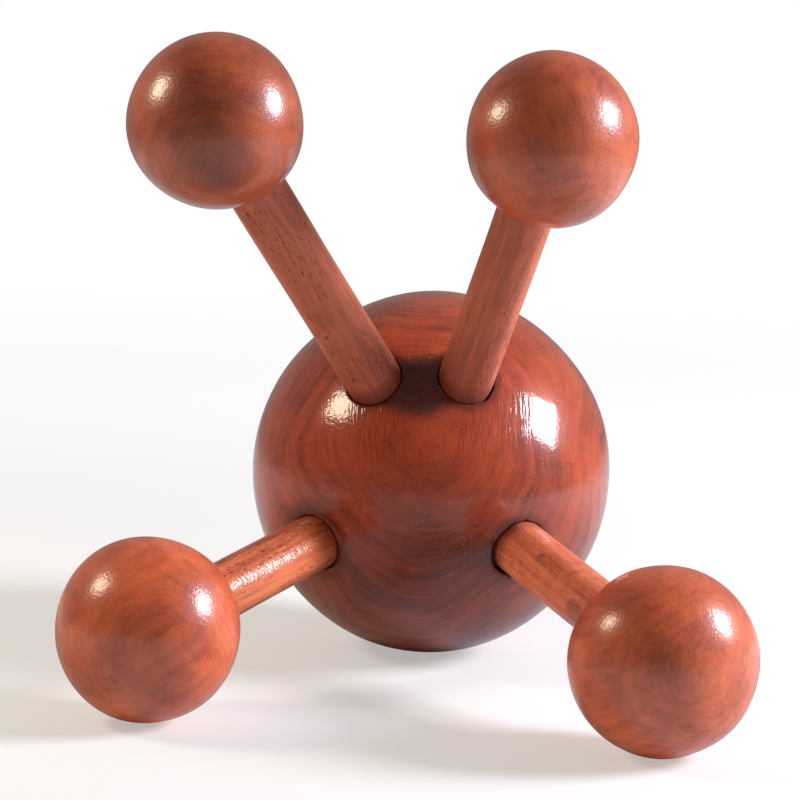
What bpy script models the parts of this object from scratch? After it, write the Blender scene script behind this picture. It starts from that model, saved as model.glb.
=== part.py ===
"""Wooden palm massager: one large grip ball with four dowel pegs, each ending in a turned knob.

The massager stands as it does on a table, on the grip ball and its two lower knobs, with the pegs
reaching forward. Metres, +Z up, -Y is the front. The origin is on the table, under the middle of
the outline box. Left and right are as seen from the front.
"""

import math
from collections import namedtuple

import bmesh
import bpy
from mathutils import Vector

# Driving dimensions.
BALL_WIDTH = 0.0664
BALL_HEIGHT = 0.0672
PEG_DIAMETER = 0.0100
KNOB_BORE_PLAY = 0.0003        # radial room for glue round a peg inside its knob
KNOB_TENON = 0.0090            # how far a peg goes into its knob, from the knob's surface
END_ROOM = 0.0005              # room left behind a peg's end in a blind bore
PEG_CHAMFER = 0.0006
KNOB_MOUTH = 0.0004            # eased edge of a knob's bore

BALL_SEGMENTS = 48
KNOB_SEGMENTS = 32
BORE_SEGMENTS = 32
PROFILE_STEP = math.radians(9)   # longest step along a turned profile

# One leg is a peg and its knob. Azimuths are from the front, positive to the right, elevations
# from the horizontal, both in degrees. The entry is where the peg's axis meets the ball, the
# reach is from there to the knob's middle. A leg with no elevation leans down until its knob
# touches the table. The tenon is how far the peg goes into the ball, the play is the radial room
# round it there, and the mouth is how far the bore's edge is eased.
Leg = namedtuple(
    "Leg",
    "entry_azimuth entry_elevation azimuth elevation reach knob_width knob_length tenon play mouth",
)
LEGS = {
    "upper_left": Leg(-26.0, 38.3, -37.6, 46.5, 0.0647, 0.0293, 0.0293, 0.0080, 0.0003, 0.0004),
    "upper_right": Leg(12.5, 40.7, 20.9, 53.5, 0.0556, 0.0289, 0.0298, 0.0080, 0.0004, 0.0004),
    "lower_left": Leg(-40.7, -16.5, -35.1, None, 0.0469, 0.0314, 0.0308, 0.0120, 0.0005, 0.0009),
    "lower_right": Leg(30.5, -14.5, 26.9, None, 0.0506, 0.0322, 0.0306, 0.0120, 0.0008, 0.0004),
}

BALL_COLOUR = (0.19, 0.035, 0.016, 1.0)
KNOB_COLOUR = (0.36, 0.075, 0.030, 1.0)
PEG_COLOUR = (0.42, 0.115, 0.048, 1.0)
BALL_ROUGHNESS = 0.18
KNOB_ROUGHNESS = 0.30
PEG_ROUGHNESS = 0.42


def clear_scene():
    """Start from an empty scene."""
    for obj in list(bpy.data.objects):
        bpy.data.objects.remove(obj, do_unlink=True)


def wood(name, colour, roughness):
    """A lacquered wood."""
    material = bpy.data.materials.new(name)
    material.use_nodes = True
    shader = material.node_tree.nodes["Principled BSDF"]
    shader.inputs["Base Color"].default_value = colour
    shader.inputs["Roughness"].default_value = roughness
    shader.inputs["Metallic"].default_value = 0.0
    return material


def direction(azimuth, elevation):
    """Unit vector at an azimuth from the front and an elevation, both in degrees."""
    az = math.radians(azimuth)
    el = math.radians(elevation)
    return Vector((math.cos(el) * math.sin(az), -math.cos(el) * math.cos(az), math.sin(el)))


def support(width, length, axis, towards):
    """How far a spheroid reaches from its middle towards a unit direction."""
    along = axis.dot(towards)
    return 0.5 * math.sqrt(width**2 * (1 - along**2) + length**2 * along**2)


def ball_entry(leg):
    """Where a leg's axis meets the ball, measured from the ball's middle."""
    way = direction(leg.entry_azimuth, leg.entry_elevation)
    return Vector((way.x * BALL_WIDTH / 2, way.y * BALL_WIDTH / 2, way.z * BALL_HEIGHT / 2))


def leg_axis(leg):
    """Direction of a peg, from the ball to its knob."""
    if leg.elevation is not None:
        return direction(leg.azimuth, leg.elevation)
    height = BALL_HEIGHT / 2 + ball_entry(leg).z
    elevation = 0.0
    for _ in range(12):
        axis = direction(leg.azimuth, elevation)
        knob_height = support(leg.knob_width, leg.knob_length, axis, Vector((0, 0, -1)))
        elevation = math.degrees(math.asin((knob_height - height) / leg.reach))
    return direction(leg.azimuth, elevation)


def knob_middle(leg):
    """A knob's middle, measured from the ball's middle."""
    return ball_entry(leg) + leg_axis(leg) * leg.reach


def outline_box():
    """Lowest and highest corner of the whole massager, measured from the ball's middle."""
    half = Vector((BALL_WIDTH / 2, BALL_WIDTH / 2, BALL_HEIGHT / 2))
    low = -half
    high = half.copy()
    for leg in LEGS.values():
        for i in range(3):
            side = Vector((0, 0, 0))
            side[i] = 1
            reach = support(leg.knob_width, leg.knob_length, leg_axis(leg), side)
            low[i] = min(low[i], knob_middle(leg)[i] - reach)
            high[i] = max(high[i], knob_middle(leg)[i] + reach)
    return low, high


def ellipse_arc(width, length, start, end):
    """Points of a half outline (radius, height), from one angle off the +Z pole to another."""
    steps = 2 * math.ceil((end - start) / (2 * PROFILE_STEP))
    points = []
    for i in range(steps + 1):
        angle = start + (end - start) * i / steps
        points.append((width / 2 * math.sin(angle), length / 2 * math.cos(angle)))
    return points


def turned(name, profile, segments, material):
    """A closed solid turned about its own Z from a half outline of (radius, height) points."""
    mesh = bpy.data.meshes.new(name)
    bm = bmesh.new()
    line = [bm.verts.new((radius, 0, height)) for radius, height in profile]
    edges = [bm.edges.new(pair) for pair in zip(line, line[1:])]
    bmesh.ops.spin(
        bm, geom=line + edges, axis=(0, 0, 1), cent=(0, 0, 0), angle=math.tau, steps=segments
    )
    bmesh.ops.remove_doubles(bm, verts=bm.verts, dist=1e-6)
    bmesh.ops.recalc_face_normals(bm, faces=bm.faces)
    bm.to_mesh(mesh)
    bm.free()
    mesh.shade_smooth()
    mesh.set_sharp_from_angle(angle=math.radians(30))
    if material:
        mesh.materials.append(material)
    obj = bpy.data.objects.new(name, mesh)
    bpy.context.collection.objects.link(obj)
    return obj


def aim(obj, place, axis):
    """Put an object's own origin at a place and its own +Z along an axis."""
    obj.location = place
    obj.rotation_mode = "QUATERNION"
    obj.rotation_quaternion = axis.to_track_quat("Z", "Y")


def make_ball(material):
    """The grip ball, still whole."""
    profile = ellipse_arc(BALL_WIDTH, BALL_HEIGHT, 0, math.pi)
    profile[0] = (0, BALL_HEIGHT / 2)
    profile[-1] = (0, -BALL_HEIGHT / 2)
    return turned("grip_ball", profile, BALL_SEGMENTS, material)


def cut_bore(ball, side, leg):
    """Cut a leg's blind bore, with its eased mouth, into the ball."""
    radius = PEG_DIAMETER / 2 + leg.play
    depth = leg.tenon + END_ROOM
    clear = 2 * leg.mouth + PEG_DIAMETER / 2
    profile = [
        (0, -depth),
        (radius, -depth),
        (radius, -leg.mouth),
        (radius + leg.mouth + clear, clear),
        (0, clear),
    ]
    cutter = turned("bore_" + side, profile, BORE_SEGMENTS, None)
    cutter.parent = ball
    aim(cutter, ball_entry(leg), leg_axis(leg))
    cutter.hide_render = True
    cutter.display_type = "WIRE"
    cut = ball.modifiers.new("bore_" + side, "BOOLEAN")
    cut.operation = "DIFFERENCE"
    cut.solver = "EXACT"
    cut.object = cutter


def make_peg(side, leg, material):
    """A plain dowel, chamfered at both ends, from inside the ball to inside the knob."""
    radius = PEG_DIAMETER / 2
    start = -leg.tenon
    end = leg.reach - leg.knob_length / 2 + KNOB_TENON
    profile = [
        (0, start),
        (radius - PEG_CHAMFER, start),
        (radius, start + PEG_CHAMFER),
        (radius, end - PEG_CHAMFER),
        (radius - PEG_CHAMFER, end),
        (0, end),
    ]
    peg = turned("peg_" + side, profile, BORE_SEGMENTS, material)
    aim(peg, ball_entry(leg), leg_axis(leg))
    return peg


def make_knob(side, leg, material):
    """A turned knob, with a blind bore for the peg on the side that faces the ball."""
    bore = PEG_DIAMETER / 2 + KNOB_BORE_PLAY
    mouth = bore + KNOB_MOUTH
    mouth_angle = math.asin(mouth / (leg.knob_width / 2))
    mouth_height = leg.knob_length / 2 * math.cos(mouth_angle)
    bottom = leg.knob_length / 2 - KNOB_TENON - END_ROOM
    profile = [(0, bottom), (bore, bottom), (bore, mouth_height - KNOB_MOUTH)]
    profile += ellipse_arc(leg.knob_width, leg.knob_length, mouth_angle, math.pi)
    profile[-1] = (0, -leg.knob_length / 2)
    knob = turned("knob_" + side, profile, KNOB_SEGMENTS, material)
    aim(knob, knob_middle(leg), -leg_axis(leg))
    return knob


def build():
    """The whole massager, standing on its rest points."""
    clear_scene()
    ball_wood = wood("ball_wood", BALL_COLOUR, BALL_ROUGHNESS)
    knob_wood = wood("knob_wood", KNOB_COLOUR, KNOB_ROUGHNESS)
    peg_wood = wood("peg_wood", PEG_COLOUR, PEG_ROUGHNESS)
    low, high = outline_box()
    middle = bpy.data.objects.new("ball_middle", None)
    middle.location = (-(low.x + high.x) / 2, -(low.y + high.y) / 2, -low.z)
    bpy.context.collection.objects.link(middle)
    ball = make_ball(ball_wood)
    ball.parent = middle
    for side, leg in LEGS.items():
        cut_bore(ball, side, leg)
        make_peg(side, leg, peg_wood).parent = middle
        make_knob(side, leg, knob_wood).parent = middle


build()
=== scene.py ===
"""Looks of the wooden palm massager: a lacquered ball and four turned knobs on dowel pegs.

Every place, axis and size is worked out from the CAD nodes, in metres, in the row frame. Wood
patterns are laid out in millimetres of each blank of wood, so one unit there is one millimetre.
"""

import math
from collections import namedtuple

import bmesh
import bpy
import numpy as np
from mathutils import Matrix, Vector


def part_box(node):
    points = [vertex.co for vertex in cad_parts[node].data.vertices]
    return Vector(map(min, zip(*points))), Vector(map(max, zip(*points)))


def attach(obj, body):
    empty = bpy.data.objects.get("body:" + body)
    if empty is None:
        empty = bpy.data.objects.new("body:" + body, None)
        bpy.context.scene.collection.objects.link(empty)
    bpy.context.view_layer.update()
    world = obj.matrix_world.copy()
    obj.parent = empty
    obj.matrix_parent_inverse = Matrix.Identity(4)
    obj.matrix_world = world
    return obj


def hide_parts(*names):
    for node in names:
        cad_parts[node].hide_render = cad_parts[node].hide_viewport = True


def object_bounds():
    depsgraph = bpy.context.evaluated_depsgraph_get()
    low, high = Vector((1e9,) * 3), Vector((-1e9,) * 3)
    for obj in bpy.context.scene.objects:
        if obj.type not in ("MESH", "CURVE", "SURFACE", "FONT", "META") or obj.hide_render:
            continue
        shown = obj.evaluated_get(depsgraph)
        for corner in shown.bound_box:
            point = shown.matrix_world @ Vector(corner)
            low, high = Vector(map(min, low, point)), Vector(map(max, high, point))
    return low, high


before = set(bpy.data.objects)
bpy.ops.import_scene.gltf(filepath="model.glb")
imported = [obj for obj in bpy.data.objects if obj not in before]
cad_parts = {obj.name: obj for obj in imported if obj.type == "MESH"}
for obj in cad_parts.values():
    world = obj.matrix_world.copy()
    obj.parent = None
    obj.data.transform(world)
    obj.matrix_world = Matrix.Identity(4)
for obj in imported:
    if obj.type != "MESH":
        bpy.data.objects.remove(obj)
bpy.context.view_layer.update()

MM = 0.001
LEGS = ("upper_left", "upper_right", "lower_left", "lower_right")
BODY = "root"


def by_leg(*values):
    """One value for each leg, in the order of LEGS."""
    return dict(zip(LEGS, values))


# The camera stands in front, a little above the ball and rolled a little, with a long lens.
CAMERA_FROM_BALL = Vector((-0.0063, -0.5881, 0.1052))
LENS_MM, SENSOR_MM = 144.0, 36.0
CLIP_NEAR, CLIP_FAR = 0.01, 20.0
VIEW_FORWARD = Vector((0.0, 0.988, -0.1545)).normalized()
ROLLED_RIGHT = Vector((0.9993, 0.0059, 0.0379)).normalized()
VIEW_UP = ROLLED_RIGHT.cross(VIEW_FORWARD).normalized()
VIEW_RIGHT = VIEW_FORWARD.cross(VIEW_UP).normalized()

# ---- sizes of the shapes

# Mesh fineness.
BALL_SUBDIVISIONS = 7
KNOB_AROUND = 144
KNOB_RINGS = 84
PEG_AROUND = 96
PEG_STEP = 0.0005
SOCKET_AROUND = 240
RIM_STEPS = 7
FLOOR_AROUND = 96

# How the wood stands away from its true turned shape: how far, and the shortest and longest wave.
Waves = namedtuple("Waves", "height shortest longest")
BALL_WAVES = Waves(0.00016, 0.018, 0.060)
KNOB_WAVES = Waves(0.00016, 0.010, 0.034)
PEG_WAVES = Waves(0.00005, 0.004, 0.012)
PEG_DRAWN_OUT = (1, 1, 0.25)  # a peg's waves are longer along it

# The shortest and longest wave of an edge's wear, round a circle whose radius is 1.
SOCKET_WEAR = (0.5, 2.2)
SOCKET_NICKS = (0.12, 0.4)
KNOB_RIM_WEAR = (0.5, 2.5)
GLUE_WEAR = (0.4, 1.6)

# The seeds of the unevenness. A leg adds its place in LEGS to its own.
SEEDS = {
    "ball": 3, "smear": 7, "knob": 10, "knob_rim": 20, "socket": 40, "nicks": 60,
    "peg": 80, "glue_ball": 100, "glue_knob": 120,
}

# A socket in the ball: play is the bore beyond the peg all round, rim the rounding of its edge,
# wear how far that rounding wanders, flat its depth as a share of its width, lean how much wider it
# is on one side and lean_to that side's angle, sunk how far the dried glue lies below the edge.
# slip_side and slip_down move the bore off the peg's axis, to the viewer's right and down, so that
# the gap opens on one side. chips are (angle, width, reach). Angles are in degrees, anticlockwise
# from the viewer's right.
Socket = namedtuple("Socket", "play rim wear flat lean lean_to sunk slip_side slip_down chips")
BALL_SOCKETS = by_leg(
    Socket(0.00016, 0.00026, 0.25, 1.0, 0.0, 0, 0.0006, 0.00003, 0.00008, ((250, 14, 0.0003),)),
    Socket(0.00018, 0.00028, 0.30, 1.0, 0.3, 300, 0.0008, 0.00004, 0.00006, ((318, 10, 0.0004),)),
    Socket(0.00020, 0.00085, 0.14, 0.34, 0.40, 335, 0.0003, 0.00008, 0.00004, ((296, 9, 0.0003),)),
    Socket(
        0.00036, 0.00034, 0.30, 0.9, 0.35, 215, 0.0012, -0.00022, 0.00015,
        ((286, 3.2, 0.0009), (277, 2.6, 0.0007), (266, 3.0, 0.0010), (254, 4.0, 0.0004),
         (112, 5.0, 0.0003), (78, 4.0, 0.0003)),
    ),
)
NICK_SHARE = 0.35  # how far nicks go, as a share of the wear
CHIP_END = 1.4  # where a chip ends, in its widths, and it fades over the last one
RIM_TURN = math.radians(74)  # how far round its edge a socket is rounded
CUT_BELOW = 0.0005  # how far below the peg's foot a cutter starts
CUT_BORE = (0.6, 0.82)  # rings up the bore, as shares of the way to its edge
CUT_SPREAD, CUT_LIFT = 1.9, 0.9  # how a cutter leaves the ball, in widths and depths of the edge
CUT_CLEAR, CUT_FLARE = 0.006, 0.001  # how far a cutter stands out of the ball and spreads there

KNOB_RIMS = by_leg(0.00035, 0.00030, 0.0006, 0.0004)
KNOB_PLAY = 0.00022  # the bore beyond the peg all round
KNOB_RIM_WANDER = 0.3
KNOB_RIM_TURN = math.radians(84)
KNOB_END_ROOM = 0.0004  # behind a peg's end
KNOB_BORE = (0.15, 0.5, 0.85, 1.0)  # rings down the bore, as shares of its depth
KNOB_FLOOR = (0.6, 0.25)  # rings on the bore's floor, as shares of its radius
KNOB_SKIN = (0.93, 0.99)  # the unevenness fades in between these shares of the knob's size

PEG_CHAMFER = 0.0006
DISC = (0.35, 0.7)  # rings on a flat end, as shares of its radius

BORE_GAP = 0.00003  # what is left between dried glue and the wood beside it
# How dried glue is rounded: how far across the gap, and how far up.
GLUE_PROFILE = ((0, 0.0), (0, 1.0), (0.25, 0.8), (0.5, 0.74), (0.75, 0.8), (1, 0.96), (1, 0.0))
GLUE_EDGE = 0.7  # how much of a socket's rounding lies above the glue
GLUE_SUNK = (0.55, 0.35)  # the even and the ragged share of how far the glue is sunk
GLUE_START = 0.0010  # how far above the peg's foot a socket's glue starts
GLUE_IN_KNOB, GLUE_EVEN = 0.0003, 0.9  # how ragged a knob's glue is, and how far in, by that
GLUE_KNOB_END = 0.002  # how far before the knob's middle its glue ends

# ---- marks on the wood, and painted shade

# A round patch of darker wood, of painted shade or of thicker lacquer: its middle in the viewer's
# right and up, in radii, how far it reaches and how far out it keeps its strength, in degrees, and
# its strength.
RoundPatch = namedtuple("RoundPatch", "right up reach core strength")
# On the ball: the lower half darker, partly darker wood and partly painted shade, and a painted
# shadow between the upper pegs, which BALL_GREYED_SHADOW greys as well.
BALL_SHADE_AND_DARK_WOOD = (RoundPatch(0.10, -0.85, 72, 25, 0.92), RoundPatch(-0.06, 0.475, 13, 7.5, 1.0))
BALL_GREYED_SHADOW = (RoundPatch(-0.06, 0.475, 13, 6, 0.80),)
BALL_POOLS = (RoundPatch(-0.47, 0.31, 20, 7, 1.0), RoundPatch(0.46, 0.32, 22, 6, 0.45))
BALL_BRUSHED = (
    RoundPatch(-0.30, 0.24, 15, 6, 1.0), RoundPatch(0.24, 0.22, 11, 4, 0.9), RoundPatch(0.45, 0.28, 16, 6, 0.8)
)
KNOB_STAINS = by_leg(
    (RoundPatch(-0.10, -0.22, 46, 6, 0.46), RoundPatch(0.02, -0.72, 16, 4, 0.50)),
    (RoundPatch(-0.42, 0.48, 26, 4, 0.45), RoundPatch(0.02, -0.05, 40, 4, 0.18)),
    (RoundPatch(-0.25, -0.20, 38, 4, 0.36), RoundPatch(0.10, -0.60, 38, 8, 0.45)),
    (RoundPatch(-0.02, -0.25, 50, 6, 0.40),),
)

# Where glue was wiped off beside the lower right socket: the middle of the smear and its half
# width as angles about the peg and how far from its ends it fades, in degrees, and how far it
# reaches beyond the peg's own side.
Smear = namedtuple("Smear", "angle half fade reach")
SMEAR = Smear(150, 62, 22, 0.0021)
SMEAR_WAVES = (0.0012, 0.0040)
SMEAR_WANDER, SMEAR_FADE = 0.35, 0.4  # how ragged it is and how far it fades, by its reach

# Darker spots on the lower right peg: how far out from the ball's face, how far round from the
# side that faces the viewer, in degrees, its reach and its strength.
Spot = namedtuple("Spot", "out turn reach strength")
PEG_SPOTS = (Spot(0.0126, 12, 0.0011, 1.0), Spot(0.0286, -36, 0.0028, 0.8))
SPOT_FADE = 0.3

# Darkening where parts meet. Round a socket in the ball it is soil and painted shade in the recess,
# and it reaches further from a socket with a rounder edge, by that edge as a share of
# SOCKET_SOIL_AND_SHADE_RIM. On a peg it is a band, with its middle at peak from the wood beside it.
Soil = namedtuple("Soil", "reach peak")
SOCKET_SOIL_AND_SHADE_REACH, SOCKET_SOIL_AND_SHADE_LEAST, SOCKET_SOIL_AND_SHADE_RIM = 0.0026, 0.5, 0.0008
KNOB_MOUTH_DARK_REACH = 0.0028
PEG_FOOT_BAND, PEG_HEAD_BAND = Soil(0.0022, 0.0008), Soil(0.0018, 0.0012)
PEG_FOOT_DARKENED, PEG_HEAD_DARKENED = by_leg(0.8, 0.8, 0.55, 0.30), 0.7
# How strongly the red of the ball's lacquer was brushed up a peg, and how far.
PEG_FLUSH, PEG_FLUSH_REACH = by_leg(0.25, 0.50, 0.0, 0.0), 0.013
# Deeper in a bore than this the wood is painted darker, as shade in the recess.
EDGE_DEPTH = 0.0007  # how far down a bore the lacquer ran

# How each piece was cut from its blank. The ball's pith runs from back to front and comes out
# above the middle of the face that is seen.
BALL_FIBRE = Vector((-0.03, -0.907, 0.415)).normalized()
BALL_PITH_LEFT = 0.0015
KNOB_FIBRES = by_leg(
    (0.25, -0.45, 0.86), (-0.35, 0.30, 0.89), (0.80, 0.25, 0.55), (0.55, -0.75, 0.35)
)
KNOB_PITH_LEFT = 0.004
PEG_PITH_UP, PEG_PITH_SPREAD = 0.03, 0.4

# ---- looks of the wood

# A pattern in the wood or its finish: how it is squeezed along x, y and z, how often it repeats in
# a millimetre, how much fine detail it has and how rough that is. fade is the span over which it
# rises, and the two levels that it rises between if they aren't 0 and 1.
Pattern = namedtuple("Pattern", "squeeze often detail rough fade", defaults=(0.5, None))
WARP = Pattern((1, 1, 0.35), 0.032, 1.0)
WANDER = Pattern((0.5, 0.5, 0.06), 0.13, 2.0)
RINGS = Pattern(None, 1.0, 5.0, 0.70, (0.36, 0.66))
RING_BREAKS = Pattern(None, 0.085, 2.0, 0.5, (0.36, 0.60, 0.25, 1.1))
DRAWN = Pattern(None, 1.0, 4.0, 0.62)
FIBRES = Pattern((1, 1, 0.05), 3.0, 4.0, 0.65)
STREAKS = Pattern((1, 1, 0.03), 0.55, 3.0, 0.6, (0.40, 0.66))
BLOTCHES = Pattern(None, 1.0, 2.0, 0.5, (0.34, 0.68))
PORES = Pattern((1, 1, 0.14), 1.0, 1.0, 0.4, (0.625, 0.68))
PORE_CLUSTERS = Pattern((1, 1, 0.2), 0.22, 1.0)
STROKES = Pattern(None, 1.0, 1.0)
SMEAR_AND_SHADOW_MOTTLE = Pattern(None, 0.9, 3.0, 0.5, (0.32, 0.55))
DUST_DRIFTS = Pattern(None, 0.07, 1.0, 0.5, (0.40, 0.60, 0.25, 1.0))
GLOSS = Pattern(None, 0.25, 3.0)
STIPPLE = Pattern(None, 2.0, 1.0)
POOLED = Pattern(None, 1.3, 2.0, 0.6)

BLANK_STEP = (37.0, 11.0, 53.0)  # how far apart two blanks lie in the patterns, in mm
WARP_REACH = 16  # how far the rings are pushed out of round, in mm
RING_WANDER = 0.9  # how far rings drift along the fibres, in rings
RING_YOUNG = (5.0, 24.0, 0.25, 1.25)  # rings are fainter nearer the pith, in mm from it
DRAWN_ROUND, DRAWN_ALONG, DRAWN_OUT = 2.5, 0.07, 1.5  # streaks that follow the rings
DRAWN_DARK, DRAWN_PORES, DRAWN_STAIN_AND_SHADE = (0.38, 0.68), (0.64, 0.72), (0.36, 0.64, 0.56, 0.77)
WARM_PLACE = 0.45  # where the warm colour lies between the pale and the dark
FIBRE_SPAN, FIBRE_DARKER, FIBRE_PALER = (0.25, 0.75), 0.9, 0.5
STAIN_AND_SHADE_SHARES = (0.46, 1.05, 1.40)  # of the dark wood's red, green and blue, for stains and for the painted shadow on the ball
PORE_SHARE, PORE_ROUGHER = 0.2, 0.2  # of the dark colour in an open pore, and how much rougher
HATCH_SPAN = (0.42, 0.60)  # of the brush strokes, over which they darken
# At most how far soil and painted shade darken the wood, and how far glue smear and the greyed
# painted shadow on the ball darken it, towards SMEAR_AND_SHADOW_COLOUR.
SOIL_AND_SHADE_MOST, SMEAR_AND_SHADOW_MOST = 0.80, 0.75
SMEAR_AND_SHADOW_COLOUR = (0.130, 0.064, 0.060)
MIDDLING = (0.3, 0.7)  # the span most of a noise lies in

# Dust specks: how many cells there are in a millimetre, the share left empty, a dot's size.
Specks = namedtuple("Specks", "often empty size")
COARSE_DUST, FINE_DUST, FINE_SHARE = Specks(0.85, 0.66, 0.066), Specks(1.9, 0.72, 0.10), 0.5
SPECK_CHOICE, SPECK_EDGE = 0.02, 0.3  # how softly a cell is chosen, and a dot ends
DUST_COLOUR = (0.98, 0.76, 0.56)
POOL_DEPTH, SPECK_HEIGHT = 0.000043, 0.00005
COAT_IOR = 1.5

# pale, warm and dark are the wood's colours. ring_gap, blotch_size and pore_size are in mm, and
# ring_depth, drawn, fibre and blotch are how far rings, the streaks along them, fibres and blotches
# darken it. pores is how dark and pore_depth how deep an open pore is, clusters where pores gather.
# rough and shine are the wood's own gloss, coat and coat_rough the lacquer's. stipple, relief and
# brush are the depths of the lacquer's stipple, the fibres and the brush marks, in metres, and
# hatch how far brush marks darken. brush_way is how often they repeat in a millimetre each way, and
# speck how much dust shows.
Wood = namedtuple(
    "Wood",
    "pale warm dark ring_gap ring_depth drawn fibre blotch blotch_size pores pore_size pore_depth "
    "rough shine coat coat_rough speck stipple relief brush brush_way hatch clusters soil_colour",
)
COLOURS = ("pale", "warm", "dark")
BALL_LOOK = Wood(
    pale=(0.580, 0.092, 0.032), warm=(0.415, 0.056, 0.025), dark=(0.130, 0.023, 0.017),
    ring_gap=6.0, ring_depth=0.36, drawn=0.22, fibre=0.12, blotch=0.20, blotch_size=14.0,
    pores=0.5, pore_size=0.18, pore_depth=0.05, clusters=(0.42, 0.62),
    rough=(0.34, 0.44), shine=0.12, coat=1.0, coat_rough=0.115, speck=0.9,
    stipple=0.000014, relief=0.000020, brush=0.000080, brush_way=(2.7, 0.26, 0.26), hatch=0.36,
    soil_colour=(0.085, 0.020, 0.014),
)
KNOB_LOOK = Wood(
    pale=(0.730, 0.148, 0.050), warm=(0.600, 0.088, 0.035), dark=(0.260, 0.043, 0.024),
    ring_gap=7.0, ring_depth=0.26, drawn=0.22, fibre=0.18, blotch=0.38, blotch_size=9.0,
    pores=0.25, pore_size=0.16, pore_depth=0.05, clusters=(0.42, 0.62),
    rough=(0.36, 0.46), shine=0.30, coat=0.90, coat_rough=0.215, speck=0.35,
    stipple=0.000040, relief=0.000012, brush=0.0, brush_way=(1.0, 1.0, 1.0), hatch=0.0,
    soil_colour=(0.200, 0.032, 0.016),
)
KNOB_TONES = by_leg(0.82, 1.02, 1.20, 1.17)
PEG_LOOK = Wood(
    pale=(0.720, 0.180, 0.080), warm=(0.580, 0.122, 0.056), dark=(0.300, 0.062, 0.034),
    ring_gap=1.6, ring_depth=0.22, drawn=0.06, fibre=0.34, blotch=0.16, blotch_size=9.0,
    pores=0.80, pore_size=0.20, pore_depth=1.0, clusters=(0.40, 0.60),
    rough=(0.46, 0.62), shine=0.45, coat=0.12, coat_rough=0.25, speck=0.2,
    stipple=0.000020, relief=0.000040, brush=0.000030, brush_way=(1.2, 1.2, 2.2), hatch=0.0,
    soil_colour=(0.220, 0.034, 0.018),
)
LACQUERED_PEG_LOOK = PEG_LOOK._replace(
    pale=(0.940, 0.240, 0.084), warm=(0.780, 0.152, 0.052), dark=(0.320, 0.050, 0.024),
    ring_depth=0.30, fibre=0.42, pores=1.0, clusters=(0.32, 0.50),
    rough=(0.36, 0.50), shine=0.2, coat=0.72, coat_rough=0.20,
    stipple=0.000018, brush=0.000110, brush_way=(1.1, 1.1, 2.0),
)
SMOOTH_PEG_LOOK = LACQUERED_PEG_LOOK._replace(
    pale=(1.0, 0.285, 0.132), warm=(0.980, 0.190, 0.090), dark=(0.520, 0.084, 0.050),
    ring_depth=0.18, fibre=0.32, blotch=0.30, blotch_size=4.0, pores=0.40,
    coat=0.45, coat_rough=0.18, stipple=0.000045, brush=0.000050,
)
PEG_LOOKS = by_leg(PEG_LOOK, PEG_LOOK, LACQUERED_PEG_LOOK, SMOOTH_PEG_LOOK)
BALL_BLANK, KNOB_BLANK, PEG_BLANK = 1, 5, 11  # the first blank of each kind

# Bare wood in a bore, and dried glue. Their patterns are in metres.
BORED_GRAIN, BORED_DEPTH, BORED_ROUGH = Pattern(None, 900.0, 3.0), 0.00006, (0.6, 0.9)
# Deep in a bore the wood is dark, partly glue stain and partly painted shade in the recess; near
# its edge it is paler, the colour of the lacquer that ran there.
BORED_COLOUR, BORED_DARKER = (0.150, 0.044, 0.026), 0.35
BORED_EDGE, EDGE_DARKER = (0.300, 0.062, 0.030), 0.6
GLUE_LUMPS, GLUE_DEPTH, GLUE_ROUGH = Pattern(None, 1400.0, 3.0), 0.00012, (0.35, 0.6)
GLUE_DARK, GLUE_BROWN, GLUE_SPAN = (0.026, 0.010, 0.008), (0.085, 0.030, 0.022), (0.35, 0.65)

# ---- studio

# The surroundings are white but for a dark room behind the camera, towards ROOM_SIDE. A fade is
# where it starts and ends, and its two levels: the room's by how far a ray points to that side, the
# horizon's by how far it points up. A reflection sees it all darker by GLOSSY_SHADE.
WORLD_STRENGTH = 0.39
ROOM_SIDE = (-0.25, -0.84, 0.48)
ROOM_FADE = (-0.55, 0.90, 1.0, 0.16)
HORIZON_FADE = (-0.02, 0.24, 0.60, 0.0)
GLOSSY_SHADE = 0.40

# A flat lamp: its place from the ball's middle and its top edge's direction, both in the viewer's
# right, up and towards the viewer, its size, its colour and its radiance.
Lamp = namedtuple("Lamp", "name place top width height colour radiance")
WINDOW = Lamp(
    "window", (0.504, 0.228, 0.087), (-0.24, 0.76, -0.60), 0.18, 0.195, (0.85, 0.87, 1.0), 46.0
)
ROOM_LAMP = Lamp(
    "lamp", (-0.260, 0.185, 0.086), (0.0, 1.0, 0.0), 0.088, 0.078, (1.0, 0.84, 0.62), 20.0
)

FLOOR_RINGS = (0.2, 0.4, 0.60)
FLOOR_CLEAR = (0.15, 0.60)  # where the floor starts to go clear, and where it is gone
FLOOR_COLOUR, FLOOR_GLOW_COLOUR = (0.56, 0.56, 0.55, 1), (1.0, 0.99, 0.97, 1)
FLOOR_ROUGH, FLOOR_SHINE = 0.9, 0.1
FLOOR_GLOW = 0.26
FLOOR_LIFT = (0.10, 0.34, 0.16, 0.36)  # how much more the camera sees, near and far
FLOOR_SHADE = (0.08, 0.26, 0.26, 0.0)  # how much less a reflection sees, near and far

# ---- shapes from the frame


def numbers(items, key, width=1, kind=float):
    """One property of every item of a mesh, as an array."""
    flat = np.zeros(len(items) * width, kind)
    items.foreach_get(key, flat)
    return flat.reshape(-1, width) if width > 1 else flat


def node_points(name):
    """A CAD node's vertices, in the row frame."""
    return numbers(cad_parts[name].data.vertices, "co", 3)


def mesh_points(obj):
    return numbers(obj.data.vertices, "co", 3)


def unit(v):
    v = np.asarray(v, float)
    return v / np.linalg.norm(v)


def smooth(x):
    """From 0 to 1 with no corner at either end."""
    x = np.clip(x, 0, 1)
    return x * x * (3 - 2 * x)


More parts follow.
